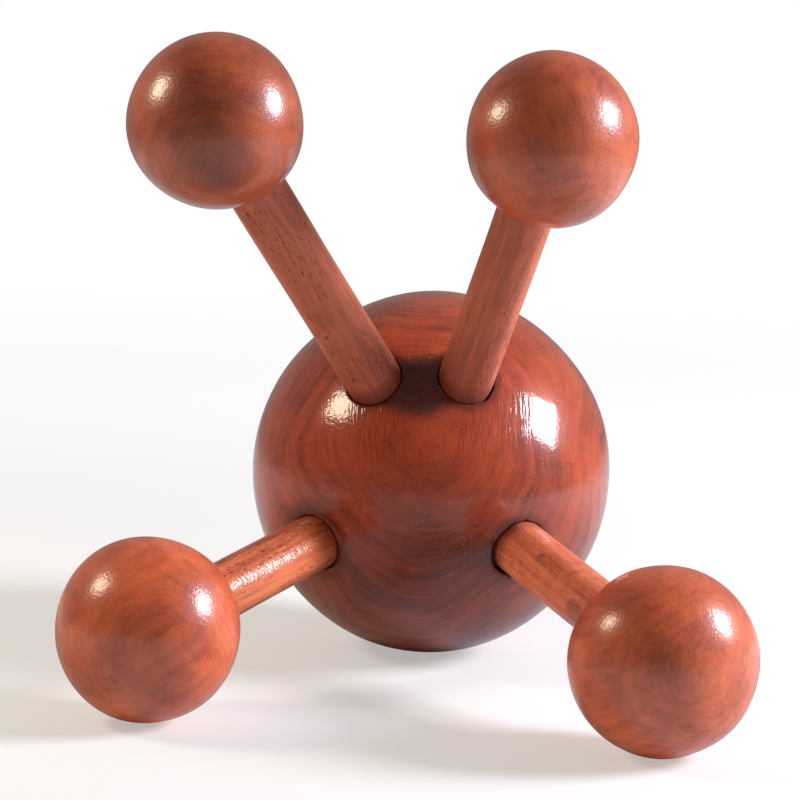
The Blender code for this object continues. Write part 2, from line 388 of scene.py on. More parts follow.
def circle(count):
    """Angles round a circle, and the points at them on a circle of radius 1."""
    angles = np.linspace(0, 2 * math.pi, count, endpoint=False)
    return angles, np.column_stack((np.cos(angles), np.sin(angles), np.zeros(count)))


def seen(right, up, towards):
    """A direction or a step given in the viewer's right, up and towards the viewer."""
    return VIEW_RIGHT * right + VIEW_UP * up - VIEW_FORWARD * towards


def across(axis, towards):
    """Three columns: a direction square to axis and nearest to towards, the one square to both,
    axis."""
    axis = unit(axis)
    side = unit(np.asarray(towards, float) - np.dot(towards, axis) * axis)
    return np.column_stack((side, np.cross(axis, side), axis))


class Uneven:
    """Smooth unevenness of about -1 to 1 over space, and its slope: a sum of seeded waves."""

    def __init__(self, seed, shortest, longest, count=14):
        rng = np.random.default_rng(seed)
        turn = rng.normal(size=(count, 3))
        turn /= np.linalg.norm(turn, axis=1)[:, None]
        self.waves = turn * (2 * math.pi / rng.uniform(shortest, longest, count))[:, None]
        self.phases = rng.uniform(0, 2 * math.pi, count)
        self.scale = 1 / math.sqrt(count)

    def at(self, points):
        return np.sin(points @ self.waves.T + self.phases).sum(1) * self.scale

    def slope(self, points):
        return np.cos(points @ self.waves.T + self.phases) @ self.waves * self.scale


def seed(what, leg):
    return SEEDS[what] + LEGS.index(leg.name)


Ball = namedtuple("Ball", "centre half")
Leg = namedtuple("Leg", "name axis foot head radius knob half_width half_length")


def read_leg(name, ball_middle):
    """The peg's axis, ends and radius, and its knob's middle and half sizes, from the CAD nodes."""
    peg = node_points("peg_" + name)
    middle = (peg.max(0) + peg.min(0)) / 2
    axis = np.linalg.svd(peg - peg.mean(0), full_matrices=False)[2][0]
    knob_low, knob_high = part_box("knob_" + name)
    knob = (np.array(knob_low) + np.array(knob_high)) / 2
    if np.dot(axis, knob - ball_middle) < 0:
        axis = -axis
    along = (peg - middle) @ axis
    middle = middle + axis * (along.max() + along.min()) / 2
    half = (along.max() - along.min()) / 2
    radius = np.linalg.norm(peg - middle - np.outer((peg - middle) @ axis, axis), axis=1).max()
    shell = node_points("knob_" + name) - knob
    out = shell @ axis
    half_width = np.linalg.norm(shell - np.outer(out, axis), axis=1).max()
    return Leg(
        name, axis, middle - axis * half, middle + axis * half, radius, knob, half_width, out.max()
    )


def socket_frame(leg):
    """The viewer's right and up, square to the leg's axis."""
    columns = across(leg.axis, VIEW_RIGHT)
    up = columns[:, 1] if columns[2, 1] > 0 else -columns[:, 1]
    return columns[:, 0], up


def ball_exit(ball, origins, direction):
    """How far along direction each origin is from leaving the ball's true shape."""
    o = (origins - ball.centre) / ball.half
    d = direction / ball.half
    a = d @ d
    b = o @ d
    c = (o * o).sum(1) - 1
    return (-b + np.sqrt(np.maximum(b * b - a * c, 0))) / a


# ---- meshes


def linked(name, mesh):
    obj = bpy.data.objects.new(name, mesh)
    bpy.context.scene.collection.objects.link(obj)
    return obj


def new_object(name, points, faces, materials, face_materials=None):
    mesh = bpy.data.meshes.new(name)
    mesh.from_pydata([tuple(p) for p in points], [], faces)
    for material in materials:
        mesh.materials.append(material)
    if face_materials is not None:
        mesh.polygons.foreach_set("material_index", face_materials)
    mesh.polygons.foreach_set("use_smooth", [True] * len(mesh.polygons))
    mesh.update()
    return linked(name, mesh)


def joined(a, b, around):
    """The faces between two rings of points that start at a and b."""
    turns = [(i, (i + 1) % around) for i in range(around)]
    return [(a + i, b + i, b + j, a + j) for i, j in turns]


def wrapped(rings, start_point, end_point):
    """Points and faces of a closed skin over rings of points, each ring as long as the next, with a
    point that closes either end."""
    around = rings.shape[1]
    points = np.vstack((start_point[None], rings.reshape(-1, 3), end_point[None]))
    turns = [(i, (i + 1) % around) for i in range(around)]
    end = len(points) - 1
    last = end - around
    faces = [(0, 1 + j, 1 + i) for i, j in turns]
    for base in range(1, last, around):
        above = base + around
        faces += [(base + i, base + j, above + j, above + i) for i, j in turns]
    faces += [(last + i, last + j, end) for i, j in turns]
    return points, faces


def ring(radii, heights, angles):
    """One ring of points about the z axis."""
    return np.column_stack((radii * np.cos(angles), radii * np.sin(angles), heights))


def set_values(obj, name, values, kind="FLOAT", key="value"):
    """What a material reads at each point of a mesh."""
    attribute = obj.data.attributes.new(name, kind, "POINT")
    attribute.data.foreach_set(key, np.asarray(values, np.float32).ravel())


def lay_grain(obj, pith, basis):
    """Gives each point its place in the blank, in mm: z along the fibres, x and y off the pith."""
    place = (mesh_points(obj) - pith) @ basis / MM
    set_values(obj, "grain", place, "FLOAT_VECTOR", "vector")


# ---- the ball

# A bore in the ball: its middle at the peg's foot, its radius, the way out and the width of the
# rounded edge at each angle.
Mouth = namedtuple("Mouth", "middle bore out rim")


def socket_middle(leg):
    """The middle of a socket's bore, at the peg's foot."""
    socket = BALL_SOCKETS[leg.name]
    right, up = socket_frame(leg)
    return leg.foot + right * socket.slip_side - up * socket.slip_down


def socket_mouth(leg):
    """A socket's own outline, with its leaning, wandering and chipped edge."""
    socket = BALL_SOCKETS[leg.name]
    right, up = socket_frame(leg)
    angles, points = circle(SOCKET_AROUND)
    worn = Uneven(seed("socket", leg), *SOCKET_WEAR).at(points)
    nicked = Uneven(seed("nicks", leg), *SOCKET_NICKS).at(points)
    leaning = 1 + socket.lean * np.cos(angles - math.radians(socket.lean_to))
    rim = socket.rim * leaning * (1 + socket.wear * worn + NICK_SHARE * socket.wear * nicked)
    chip = np.zeros(len(angles))
    for angle, width, reach in socket.chips:
        off = (np.degrees(angles) - angle + 180) % 360 - 180
        chip = np.maximum(chip, reach * smooth(CHIP_END - np.abs(off) / width))
    out = np.cos(angles)[:, None] * right + np.sin(angles)[:, None] * up
    return Mouth(socket_middle(leg), leg.radius + socket.play, out, rim + chip)


def cutter(leg, ball):
    """What a socket takes out of the ball: a bore whose edge is rounded, worn and chipped."""
    middle, bore, out, rim = socket_mouth(leg)
    deep = rim * BALL_SOCKETS[leg.name].flat
    below = leg.axis * CUT_BELOW
    rings = [middle - below + out * bore * share for share in DISC]
    edge = middle + out * bore
    face = ball_exit(ball, edge, leg.axis)
    rings.append(edge - below)
    rings += [edge + leg.axis * ((face - deep) * share)[:, None] for share in CUT_BORE]
    for step in range(RIM_STEPS + 1):
        turn = RIM_TURN * step / RIM_STEPS
        wide = middle + out * (bore + rim * (1 - math.cos(turn)))[:, None]
        top = ball_exit(ball, wide, leg.axis)
        rings.append(wide + leg.axis * (top - deep * (1 - math.sin(turn)))[:, None])
    wide = middle + out * (bore + rim * CUT_SPREAD)[:, None]
    top = ball_exit(ball, wide, leg.axis)
    rings.append(wide + leg.axis * (top + deep * CUT_LIFT)[:, None])
    above = leg.axis * (face.max() + CUT_CLEAR)
    rings.append(middle + out * (bore + CUT_FLARE) + above)
    points, faces = wrapped(np.array(rings), middle - below, middle + above)
    return new_object("cut_" + leg.name, points, faces, [None, None], [1] * len(faces))


def make_ball(ball, legs, lacquered, raw):
    """A turned ball with four sockets. The lacquered face is smooth whatever the cut did to it."""
    name = "grip_ball_lacquered"
    whole = bmesh.new()
    bmesh.ops.create_icosphere(whole, subdivisions=BALL_SUBDIVISIONS, radius=1)
    mesh = bpy.data.meshes.new(name)
    whole.to_mesh(mesh)
    whole.free()
    obj = linked(name, mesh)
    mesh.materials.append(lacquered)
    mesh.materials.append(raw)
    unevenness = Uneven(SEEDS["ball"], BALL_WAVES.shortest, BALL_WAVES.longest)
    true = ball.centre + mesh_points(obj) * ball.half
    out = (true - ball.centre) / ball.half**2
    out /= np.linalg.norm(out, axis=1)[:, None]
    waves = unevenness.at(true)[:, None] * BALL_WAVES.height
    mesh.vertices.foreach_set("co", (true + out * waves).ravel())
    cutters = [cutter(leg, ball) for leg in legs]
    for tool in cutters:
        cut = obj.modifiers.new(tool.name, "BOOLEAN")
        cut.operation = "DIFFERENCE"
        cut.solver = "EXACT"
        cut.object = tool
    bpy.context.view_layer.update()
    graph = bpy.context.evaluated_depsgraph_get()
    finished = bpy.data.meshes.new_from_object(obj.evaluated_get(graph), depsgraph=graph)
    obj.modifiers.clear()
    obj.data = finished
    finished.name = name
    for tool in cutters:
        bpy.data.objects.remove(tool)

    points = mesh_points(obj)
    radial = (points - ball.centre) / ball.half**2
    normals = radial / np.linalg.norm(radial, axis=1)[:, None]
    normals -= unevenness.slope(points) * BALL_WAVES.height
    normals /= np.linalg.norm(normals, axis=1)[:, None]
    lengths = numbers(finished.polygons, "loop_total", kind=int)
    bare = np.repeat(numbers(finished.polygons, "material_index", kind=int), lengths) != 0
    wanted = normals[numbers(finished.loops, "vertex_index", kind=int)]
    wanted[bare] = 0
    finished.polygons.foreach_set("use_smooth", [True] * len(finished.polygons))
    finished.normals_split_custom_set(wanted.tolist())
    return obj


def near_sockets(points, legs, ball):
    """1 at the edge of a socket, down to 0 away from it: soil and painted shade round the recess.
    """
    soil = np.zeros(len(points))
    for leg in legs:
        socket = BALL_SOCKETS[leg.name]
        rel = points - socket_middle(leg)
        off = np.linalg.norm(rel - np.outer(rel @ leg.axis, leg.axis), axis=1)
        on_this_side = (points - ball.centre) @ leg.axis > 0
        reach = SOCKET_SOIL_AND_SHADE_REACH * (SOCKET_SOIL_AND_SHADE_LEAST + socket.rim / SOCKET_SOIL_AND_SHADE_RIM)
        near = smooth(1 - (off - leg.radius - socket.play) / reach)
        soil = np.maximum(soil, np.where(on_this_side, near, 0))
    return soil


def glue_smear(points, leg, smear):
    """1 in the middle of a smear of glue beside a peg, down to 0 at its edges."""
    right, up = socket_frame(leg)
    rel = points - leg.foot
    sideways, upwards = rel @ right, rel @ up
    angle = np.degrees(np.arctan2(upwards, sideways))
    turned = np.abs((angle - smear.angle + 180) % 360 - 180)
    off = np.hypot(sideways, upwards) - leg.radius
    ragged = Uneven(SEEDS["smear"], *SMEAR_WAVES).at(points)
    reach = smear.reach * (1 + SMEAR_WANDER * ragged)
    near = smooth((reach - off) / (SMEAR_FADE * smear.reach))
    near = near * smooth((smear.half - turned) / smear.fade)
    return np.where(rel @ leg.axis > 0, near, 0)


def patch_cover(outward, marks):
    """How strongly the marks cover each point, given as a step from the middle in radii."""
    outward = outward / np.linalg.norm(outward, axis=1)[:, None]
    most = np.zeros(len(outward))
    for mark in marks:
        towards = math.sqrt(max(0.0, 1 - mark.right**2 - mark.up**2))
        middle = unit(seen(mark.right, mark.up, towards))
        away = np.degrees(np.arccos(np.clip(outward @ middle, -1, 1)))
        fade = mark.reach - mark.core
        most = np.maximum(most, mark.strength * smooth((mark.reach - away) / fade))
    return most


def finish_ball(ball, legs, lacquered, raw):
    """The ball in its place, with everything that its looks need to know of each point."""
    obj = make_ball(ball, legs, lacquered, raw)
    points = mesh_points(obj)
    outward = (points - ball.centre) / ball.half
    pith = ball.centre - np.array(VIEW_RIGHT) * BALL_PITH_LEFT
    lay_grain(obj, pith, across(BALL_FIBRE, VIEW_RIGHT))
    # soil: soil and painted shade round the sockets' recesses.
    set_values(obj, "soil", near_sockets(points, legs, ball))
    # heart: the lower half darker, partly painted shade, and a painted shadow between the upper
    # pegs.
    set_values(obj, "heart", patch_cover(outward, BALL_SHADE_AND_DARK_WOOD))
    set_values(obj, "pooled", patch_cover(outward, BALL_POOLS))
    set_values(obj, "brushed", patch_cover(outward, BALL_BRUSHED))
    # smear: glue wiped off beside the lower right socket, and the greying of the painted shadow
    # between the upper pegs.
    smeared = glue_smear(points, legs[-1], SMEAR)
    set_values(obj, "smear", np.maximum(patch_cover(outward, BALL_GREYED_SHADOW), smeared))
    # edge: 1 at a bore's mouth down to 0 deeper in, where the bore is painted darker as shade.
    below = (1 - np.linalg.norm(outward, axis=1)) * ball.half.mean()
    set_values(obj, "edge", smooth(1 - below / EDGE_DEPTH))
    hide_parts("grip_ball")
    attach(obj, BODY)


# ---- knobs, pegs, glue


def make_knob(leg, lacquered, raw):
    """A turned knob, closed all over: its skin, the rounded mouth of its bore, the bore."""
    angles, points = circle(KNOB_AROUND)
    worn = Uneven(seed("knob_rim", leg), *KNOB_RIM_WEAR).at(points)
    rim = KNOB_RIMS[leg.name] * (1 + KNOB_RIM_WANDER * worn)
    flat = rim * 0
    bore = leg.radius + KNOB_PLAY
    basis = across(leg.axis, VIEW_RIGHT)
    mouth = np.arcsin((bore + rim) / leg.half_width)
    rings = []
    for step in range(1, KNOB_RINGS + 1):
        turn = (math.pi - mouth) * step / KNOB_RINGS
        rings.append(ring(leg.half_width * np.sin(turn), leg.half_length * np.cos(turn), angles))
    for step in range(1, RIM_STEPS + 1):
        turn = KNOB_RIM_TURN * (1 - step / RIM_STEPS)
        spread = rim * (1 - math.cos(turn))
        base = -leg.half_length * np.sqrt(1 - ((bore + spread) / leg.half_width) ** 2)
        rings.append(ring(bore + spread, base + rim * (1 - math.sin(turn)), angles))
    face = -leg.half_length * np.sqrt(1 - (bore / leg.half_width) ** 2)
    end = (leg.head - leg.knob) @ leg.axis + KNOB_END_ROOM
    for share in KNOB_BORE:
        rings.append(ring(bore + flat, (face + rim) * (1 - share) + end * share, angles))
    for share in KNOB_FLOOR:
        rings.append(ring(bore * share + flat, end + flat, angles))
    local = np.array(rings)
    sizes = np.array([leg.half_width, leg.half_width, leg.half_length])
    whole = np.vstack(([[0, 0, leg.half_length]], local.reshape(-1, 3), [[0, 0, end]]))
    out = whole / sizes**2
    out /= np.linalg.norm(out, axis=1)[:, None]
    depth = np.linalg.norm(whole / sizes, axis=1)
    keep = smooth((depth - KNOB_SKIN[0]) / (KNOB_SKIN[1] - KNOB_SKIN[0]))
    unevenness = Uneven(seed("knob", leg), KNOB_WAVES.shortest, KNOB_WAVES.longest)
    waves = unevenness.at(whole + leg.knob) * KNOB_WAVES.height * keep
    placed = leg.knob + (whole + out * waves[:, None]) @ basis.T
    points, faces = wrapped(placed[1:-1].reshape(local.shape), placed[0], placed[-1])
    # The rings run from the far pole to the bore, so the faces are turned to look outwards.
    faces = [corners[::-1] for corners in faces]
    skin_faces = KNOB_AROUND * (KNOB_RINGS + RIM_STEPS)
    kinds = [0 if i < skin_faces else 1 for i in range(len(faces))]
    obj = new_object("knob_" + leg.name + "_turned", points, faces, [lacquered, raw], kinds)
    back = (mesh_points(obj) - leg.knob) @ basis
    off = np.linalg.norm(back[:, :2], axis=1)
    # Darker round the bore's mouth, on the side towards the ball.
    set_values(obj, "soil", smooth(1 - (off - bore) / KNOB_MOUTH_DARK_REACH) * (back[:, 2] < 0))
    return obj


def make_peg(leg, material):
    """A length of dowel, a little out of round, with its ends chamfered."""
    length = np.linalg.norm(leg.head - leg.foot)
    count = int(round(length / PEG_STEP))
    angles, _ = circle(PEG_AROUND)
    chamfered = 1 - PEG_CHAMFER / leg.radius
    straight = length - 2 * PEG_CHAMFER
    stations = [(0.0, share) for share in (*DISC, chamfered)]
    stations += [(PEG_CHAMFER + straight * i / count, 1.0) for i in range(count + 1)]
    stations += [(length, share) for share in (chamfered, *reversed(DISC))]
    flat = 0 * angles
    local = np.array([ring(leg.radius * s + flat, z + flat, angles) for z, s in stations])
    drawn = (local * np.array(PEG_DRAWN_OUT)).reshape(-1, 3)
    unevenness = Uneven(seed("peg", leg), PEG_WAVES.shortest, PEG_WAVES.longest)
    waves = unevenness.at(drawn).reshape(local.shape[:2])[..., None]
    local[..., :2] *= 1 - PEG_WAVES.height / leg.radius + waves * PEG_WAVES.height / leg.radius
    placed = leg.foot + local @ across(leg.axis, VIEW_RIGHT).T
    points, faces = wrapped(placed, leg.foot, leg.head)
    return new_object("peg_" + leg.name + "_dowel", points, faces, [material])


def spotted(points, leg, face, spots):
    """How strongly the spots cover each point of a peg."""
    towards = across(leg.axis, -np.array(VIEW_FORWARD))
    _, upwards = socket_frame(leg)
    side = towards[:, 1] if towards[:, 1] @ upwards > 0 else -towards[:, 1]
    most = np.zeros(len(points))
    for spot in spots:
        turn = math.radians(spot.turn)
        outward = towards[:, 0] * math.cos(turn) + side * math.sin(turn)
        middle = leg.foot + leg.axis * (face + spot.out) + outward * leg.radius
        away = np.linalg.norm(points - middle, axis=1)
        near = smooth((spot.reach - away) / (SPOT_FADE * spot.reach))
        most = np.maximum(most, spot.strength * near)
    return most


def banded(height, start, soil):
    """A darker band round a peg, beside the wood that ends at start."""
    return smooth(1 - np.abs(height - start - soil.peak) / soil.reach)


def make_glue(name, leg, middle, bore, heights, bottom, material):
    """Dried glue in the gap round a peg, from bottom to heights at each angle, rounded on top."""
    angles, _ = circle(SOCKET_AROUND)
    right, up = socket_frame(leg)
    out = np.cos(angles)[:, None] * right + np.sin(angles)[:, None] * up
    inner = leg.foot + out * (leg.radius + BORE_GAP)
    outer = middle + out * (bore - BORE_GAP)
    rings = []
    for share, lift in GLUE_PROFILE:
        spot = inner * (1 - share) + outer * share
        spot = spot - leg.axis * ((spot - leg.foot) @ leg.axis)[:, None]
        rings.append(spot + leg.axis * (bottom + (heights - bottom) * lift)[:, None])
    faces = []
    for r in range(len(rings)):
        faces += joined(r * SOCKET_AROUND, (r + 1) % len(rings) * SOCKET_AROUND, SOCKET_AROUND)
    return new_object(name, np.vstack(rings), faces, [material])


def finish_knob(leg, lacquered, raw):
    obj = make_knob(leg, lacquered, raw)
    fibre = Vector(KNOB_FIBRES[leg.name]).normalized()
    lay_grain(obj, leg.knob - np.array(VIEW_RIGHT) * KNOB_PITH_LEFT, across(fibre, leg.axis))
    skin = (mesh_points(obj) - leg.knob) / leg.half_width
    set_values(obj, "heart", patch_cover(skin, KNOB_STAINS[leg.name]))
    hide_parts("knob_" + leg.name)
    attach(obj, BODY)


def finish_peg(leg, ball, material):
    obj = make_peg(leg, material)
    spread = 1 + PEG_PITH_SPREAD * LEGS.index(leg.name)
    pith = leg.foot + np.array(VIEW_UP) * PEG_PITH_UP * spread
    lay_grain(obj, pith, across(leg.axis, VIEW_RIGHT))
    height = (mesh_points(obj) - leg.foot) @ leg.axis
    edge = ball_exit(ball, leg.foot[None], leg.axis)[0]
    out_of_knob = (leg.knob - leg.foot) @ leg.axis - leg.half_length
    soil = banded(height, edge, PEG_FOOT_BAND) * PEG_FOOT_DARKENED[leg.name]
    soil = np.maximum(soil, banded(height, out_of_knob, PEG_HEAD_BAND) * PEG_HEAD_DARKENED)
    flush = smooth(1 - (height - edge) / PEG_FLUSH_REACH) * PEG_FLUSH[leg.name]
    soil = np.maximum(soil, flush)
    set_values(obj, "soil", np.where(height < edge, 1.0, soil))
    set_values(obj, "brushed", np.ones(len(height)))
    if leg.name == "lower_right":
        set_values(obj, "heart", spotted(mesh_points(obj), leg, edge, PEG_SPOTS))
    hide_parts("peg_" + leg.name)
    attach(obj, BODY)


def finish_glue(leg, ball, material):
    """Rings of dried glue at both ends of a peg."""
    socket = BALL_SOCKETS[leg.name]
    mouth = socket_mouth(leg)
    _, points = circle(SOCKET_AROUND)
    face = ball_exit(ball, mouth.middle + mouth.out * mouth.bore, leg.axis)
    ragged = Uneven(seed("glue_ball", leg), *GLUE_WEAR).at(points)
    sunk = socket.sunk * (GLUE_SUNK[0] + GLUE_SUNK[1] * ragged)
    tops = face - socket.rim * socket.flat * GLUE_EDGE - sunk
    in_ball = make_glue(
        "glue_ball_" + leg.name, leg, mouth.middle, mouth.bore, tops, GLUE_START, material
    )
    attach(in_ball, BODY)

    bore = leg.radius + KNOB_PLAY
    middle = (leg.knob - leg.foot) @ leg.axis
    mouth_height = middle - leg.half_length * math.sqrt(1 - (bore / leg.half_width) ** 2)
    ragged = Uneven(seed("glue_knob", leg), *GLUE_WEAR).at(points)
    tops = mouth_height + KNOB_RIMS[leg.name] + GLUE_IN_KNOB * (GLUE_EVEN + ragged)
    bottom = middle - GLUE_KNOB_END
    in_knob = make_glue("glue_knob_" + leg.name, leg, leg.foot, bore, tops, bottom, material)
    in_knob.data.flip_normals()  # its top faces the ball, so it was built inside out
    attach(in_knob, BODY)


# ---- materials


class Nodes:
    """A node tree, built one node at a time. A socket given as an input is linked, a value is set
    and None is passed over."""

    def __init__(self, tree):
        self.tree = tree
        tree.nodes.clear()

    def put(self, socket, value):
        if isinstance(value, bpy.types.NodeSocket):
            self.tree.links.new(value, socket)
        else:
            socket.default_value = value

    def node(self, kind, inputs=(), **settings):
        made = self.tree.nodes.new("ShaderNode" + kind)
        for key, value in settings.items():
            setattr(made, key, value)
        for key, value in dict(inputs).items():
            if value is not None:
                self.put(made.inputs[key], value)
        return made

    def attribute(self, name, output="Fac"):
        return self.node("Attribute", attribute_name=name).outputs[output]

    def math(self, operation, a, b=0.0, clamp=False):
        return self.node("Math", {0: a, 1: b}, operation=operation, use_clamp=clamp).outputs[0]

    def times(self, a, b):
        return self.math("MULTIPLY", a, b)

    def plus(self, a, b, clamp=False):
        return self.math("ADD", a, b, clamp)

    def vector(self, operation, a, b=(0.0, 0.0, 0.0), output=0):
        return self.node("VectorMath", {0: a, 1: b}, operation=operation).outputs[output]

    def scaled(self, vector, by):
        return self.vector("MULTIPLY", vector, by)

    def added(self, a, b):
        return self.vector("ADD", a, b)

    def noise(self, vector, pattern, output="Fac", w=None, dimensions="3D"):
        if pattern.squeeze:
            vector = self.scaled(vector, pattern.squeeze)
        inputs = {
            "Vector": vector, "W": w, "Scale": pattern.often, "Detail": pattern.detail,
            "Roughness": pattern.rough,
        }
        made = self.node("TexNoise", inputs, noise_dimensions=dimensions).outputs[output]
        return self.remap(made, *pattern.fade) if pattern.fade else made

    def remap(self, value, low, high, to_low=0.0, to_high=1.0, curve="SMOOTHSTEP"):
        inputs = {
            "Value": value, "From Min": low, "From Max": high, "To Min": to_low, "To Max": to_high
        }
        return self.node("MapRange", inputs, interpolation_type=curve).outputs[0]

    def grey(self, level):
        return self.node("CombineColor", {0: level, 1: level, 2: level}).outputs[0]

    def ramp(self, value, stops):
        made = self.node("ValToRGB", {"Fac": value})
        marks = made.color_ramp.elements
        for place, _ in stops[2:]:
            marks.new(place)
        for mark, (place, colour) in zip(marks, stops):
            mark.position = place
            mark.color = (*colour, 1)
        return made.outputs["Color"]

    def mix(self, share, a, b, blend="MIX"):
        made = self.node("Mix", data_type="RGBA", blend_type=blend)
        for key, value in ((0, share), (6, a), (7, b)):
            if isinstance(value, tuple):
                value = (*value, 1)
            self.put(made.inputs[key], value)
        return made.outputs[2]

    def specks(self, vector, kind):
        """Small dots, one in each cell that is chosen."""
        cells = self.node("TexVoronoi", {"Vector": vector, "Scale": kind.often})
        lot = self.node("SeparateColor", {0: cells.outputs["Color"]}).outputs[0]
        chosen = self.remap(lot, kind.empty - SPECK_CHOICE, kind.empty + SPECK_CHOICE)
        near, far = kind.size * (1 - SPECK_EDGE), kind.size * (1 + SPECK_EDGE)
        dot = self.remap(cells.outputs["Distance"], near, far, 1.0, 0.0)
        return self.times(dot, chosen)

    def bump(self, height, distance, normal=None):
        inputs = {"Height": height, "Distance": distance, "Normal": normal}
        return self.node("Bump", inputs).outputs[0]


class Shader(Nodes):
    """A material's nodes, ready with its output and its one shader."""

    def __init__(self, name):
        self.material = bpy.data.materials.new(name)
        self.material.use_nodes = True
        super().__init__(self.material.node_tree)
        self.bsdf = self.node("BsdfPrincipled")
        self.surface = self.node("OutputMaterial").inputs["Surface"]
        self.put(self.surface, self.bsdf.outputs[0])

    def finish(self, **inputs):
        for key, value in inputs.items():
            self.put(self.bsdf.inputs[key.replace("_", " ")], value)
        return self.material


def wood(name, look, blank):
    """Growth rings round the pith, fibres and pores along it, blotches, the finish's marks, and the
    painted shade that a mesh asks for.
    """
    s = Shader(name)
    grain = s.attribute("grain", "Vector")
    moved = s.added(grain, tuple(blank * step for step in BLANK_STEP))

    warp = s.added(s.noise(moved, WARP, "Color"), (-0.5, -0.5, -0.5))
    bent = s.added(grain, s.scaled(warp, (WARP_REACH,) * 3))
    off_pith = s.scaled(bent, (1, 1, 0))
    spread = s.vector("LENGTH", off_pith, output="Value")
    drift = s.times(s.noise(moved, WANDER), RING_WANDER)
    place = s.plus(s.math("DIVIDE", spread, look.ring_gap), drift)
    rings = s.noise(None, RINGS, w=place, dimensions="1D")
    rings = s.times(rings, s.remap(spread, *RING_YOUNG))
    rings = s.times(rings, s.noise(moved, RING_BREAKS))
    way_out = s.vector("NORMALIZE", off_pith)
    round_pith = s.scaled(way_out, (DRAWN_ROUND, DRAWN_ROUND, 0))
    round_pith = s.added(round_pith, s.scaled(moved, (0, 0, DRAWN_ALONG)))
    drawn = s.noise(round_pith, DRAWN, w=s.times(spread, DRAWN_OUT), dimensions="4D")

    fibre = s.noise(moved, FIBRES)
    patch = s.noise(moved, BLOTCHES._replace(often=1.0 / look.blotch_size))
    share = s.times(rings, look.ring_depth)
    share = s.plus(share, s.times(s.remap(drawn, *DRAWN_DARK), look.drawn))
    share = s.plus(share, s.times(s.noise(moved, STREAKS), look.fibre))
    share = s.plus(share, s.times(patch, look.blotch), clamp=True)
    colour = s.ramp(share, [(0.0, look.pale), (1.0, look.dark), (WARM_PLACE, look.warm)])
    levels = (1 - look.fibre * FIBRE_DARKER, 1 + look.fibre * FIBRE_PALER)
    grey = s.grey(s.remap(fibre, *FIBRE_SPAN, *levels, "LINEAR"))
    colour = s.mix(1.0, colour, grey, "MULTIPLY")

    pore = s.noise(moved, PORES._replace(often=1.0 / look.pore_size))
    pore = s.times(pore, s.remap(s.noise(moved, PORE_CLUSTERS), *look.clusters))
    along_rings = s.times(rings, look.drawn)
    along_rings = s.times(s.remap(drawn, *DRAWN_PORES), along_rings)
    pore = s.plus(pore, along_rings, clamp=True)
    colour = s.mix(s.times(pore, look.pores), colour, darker(look.dark, PORE_SHARE))

    # heart: stains on knobs and a peg; on the ball, darker wood low down with painted shade, and a
    # painted shadow between the upper pegs.
    heart = s.times(s.attribute("heart"), s.remap(drawn, *DRAWN_STAIN_AND_SHADE))
    stain_and_shade_colour = tuple(c * part for c, part in zip(look.dark, STAIN_AND_SHADE_SHARES))
    colour = s.mix(heart, colour, stain_and_shade_colour)
    # soil: darkening where parts meet, which round the ball's sockets is painted shade too.
    soil = s.times(s.attribute("soil"), SOIL_AND_SHADE_MOST)
    colour = s.mix(soil, colour, look.soil_colour)

    brushed = s.attribute("brushed")
    strokes = s.noise(moved, STROKES._replace(squeeze=look.brush_way))
    hatch = s.times(brushed, s.remap(strokes, *HATCH_SPAN, 0.0, look.hatch))
    colour = s.mix(hatch, colour, look.dark)
    # smear: wiped glue, and on the ball the greyed painted shadow between the upper pegs.
    smear = s.times(s.attribute("smear"), s.noise(moved, SMEAR_AND_SHADOW_MOTTLE))
    colour = s.mix(s.times(smear, SMEAR_AND_SHADOW_MOST), colour, SMEAR_AND_SHADOW_COLOUR)

    fine = s.times(s.specks(moved, FINE_DUST), FINE_SHARE)
    dust = s.math("MAXIMUM", s.specks(moved, COARSE_DUST), fine)
    dusty = s.times(s.noise(moved, DUST_DRIFTS), look.speck)
    dust = s.times(dust, dusty)
    colour = s.mix(dust, colour, DUST_COLOUR)

    rough = s.remap(s.noise(moved, GLOSS), *MIDDLING, *look.rough, "LINEAR")
    rough = s.plus(rough, s.times(pore, PORE_ROUGHER), clamp=True)
    normal = s.bump(s.noise(moved, STIPPLE), look.stipple)
    normal = s.bump(s.times(strokes, brushed), look.brush, normal)
    pooled = s.times(s.noise(moved, POOLED), s.attribute("pooled"))
    normal = s.bump(pooled, POOL_DEPTH, normal)
    raised = s.plus(s.times(pore, -look.pore_depth), dust)
    normal = s.bump(raised, SPECK_HEIGHT, normal)
    return s.finish(
        Base_Color=colour,
        Roughness=rough,
        Normal=s.bump(fibre, look.relief, normal),
        Coat_Weight=look.coat,
        Coat_Roughness=look.coat_rough,
        Coat_IOR=COAT_IOR,
        Specular_IOR_Level=look.shine,
        Coat_Normal=normal,
    )


def darker(colour, share):
    return tuple(c * share for c in colour)


def toned(look, tone):
    """The same wood, lighter or darker."""
    return look._replace(**{key: darker(getattr(look, key), tone) for key in COLOURS})


def bored_wood(name):
    """Bare wood inside a bore: paler at its edge, where lacquer ran, and darker further in, partly
    glue stain and partly painted shade in the recess.
    """
    s = Shader(name)
    stain = s.noise(s.node("TexCoord").outputs["Object"], BORED_GRAIN)
    tone = s.remap(stain, *MIDDLING)
    inside = s.mix(tone, darker(BORED_COLOUR, BORED_DARKER), BORED_COLOUR)
    edge = s.mix(tone, darker(BORED_EDGE, EDGE_DARKER), BORED_EDGE)
    return s.finish(
        Base_Color=s.mix(s.attribute("edge"), inside, edge),
        Roughness=s.remap(stain, *MIDDLING, *BORED_ROUGH),
        Normal=s.bump(stain, BORED_DEPTH),
    )


